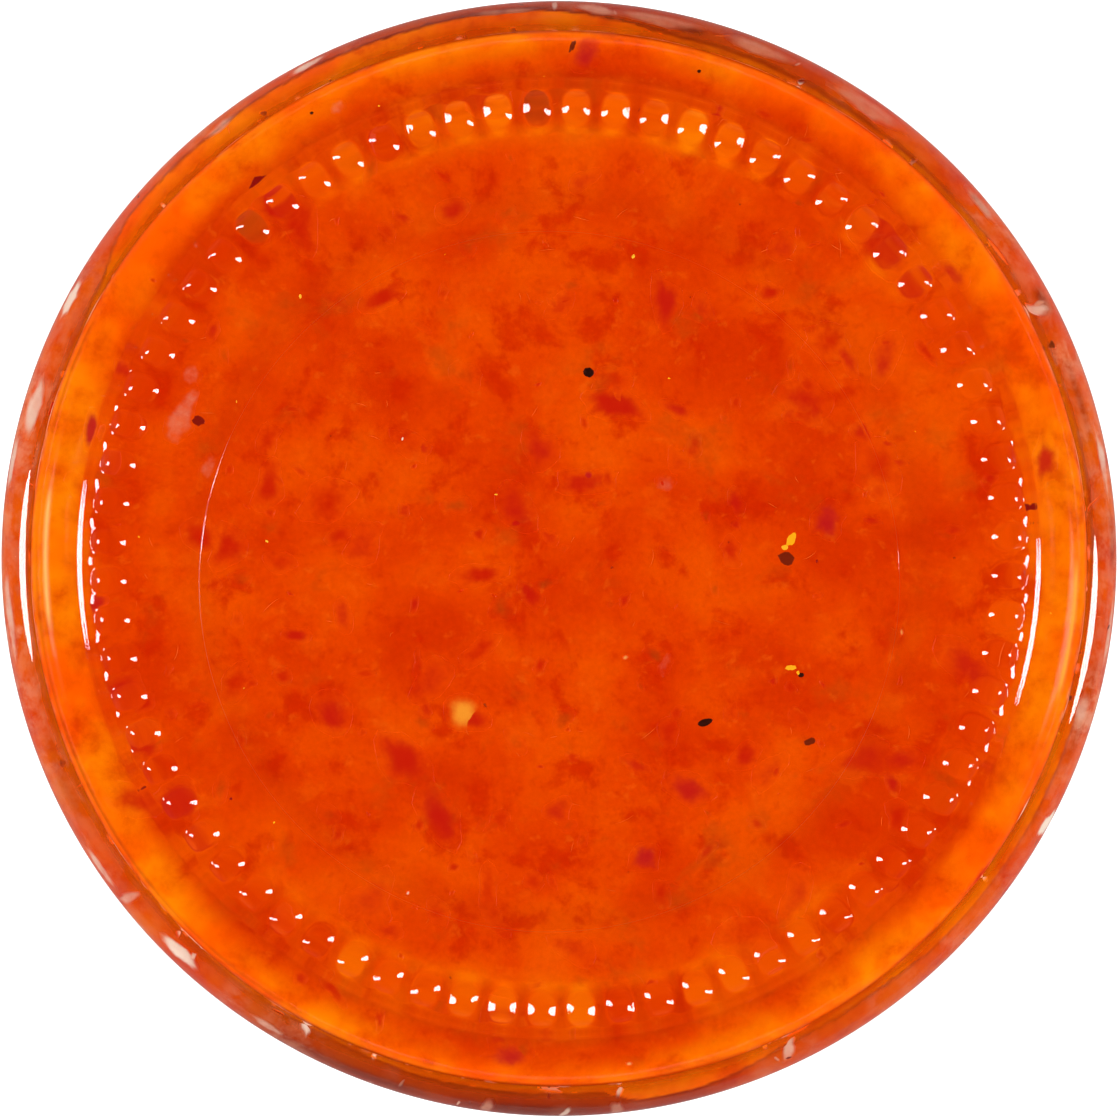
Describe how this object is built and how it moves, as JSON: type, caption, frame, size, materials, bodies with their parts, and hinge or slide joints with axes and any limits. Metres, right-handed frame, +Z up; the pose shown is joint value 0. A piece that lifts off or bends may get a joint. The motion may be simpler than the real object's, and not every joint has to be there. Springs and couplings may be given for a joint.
{
  "type": "jar of chutney",
  "caption": "Closed glass jar of orange-red chutney with a stippled bearing ring round its base, standing upside down on its twist-off lid.",
  "frame": {"origin": "centre of the lid's outer face, in the plane that the jar stands on: the jar is upside down", "axes": "+Z up, along the jar's axis, from the lid to the glass base; X and Y across the jar, with +Y towards the top of the view that looks straight down on the base"},
  "size_m": [0.075, 0.075, 0.0993],
  "materials": {
    "glass_jar": "clear pressed soda-lime glass, smooth",
    "chutney": "moist orange-red chutney with small bits, pressed against glass",
    "lid": "gold-lacquered tinplate, semi-gloss"
  },
  "bodies": {
    "root": {"glass_jar": "glass_jar", "chutney": "chutney", "lid": "lid"}
  },
  "joints": []
}
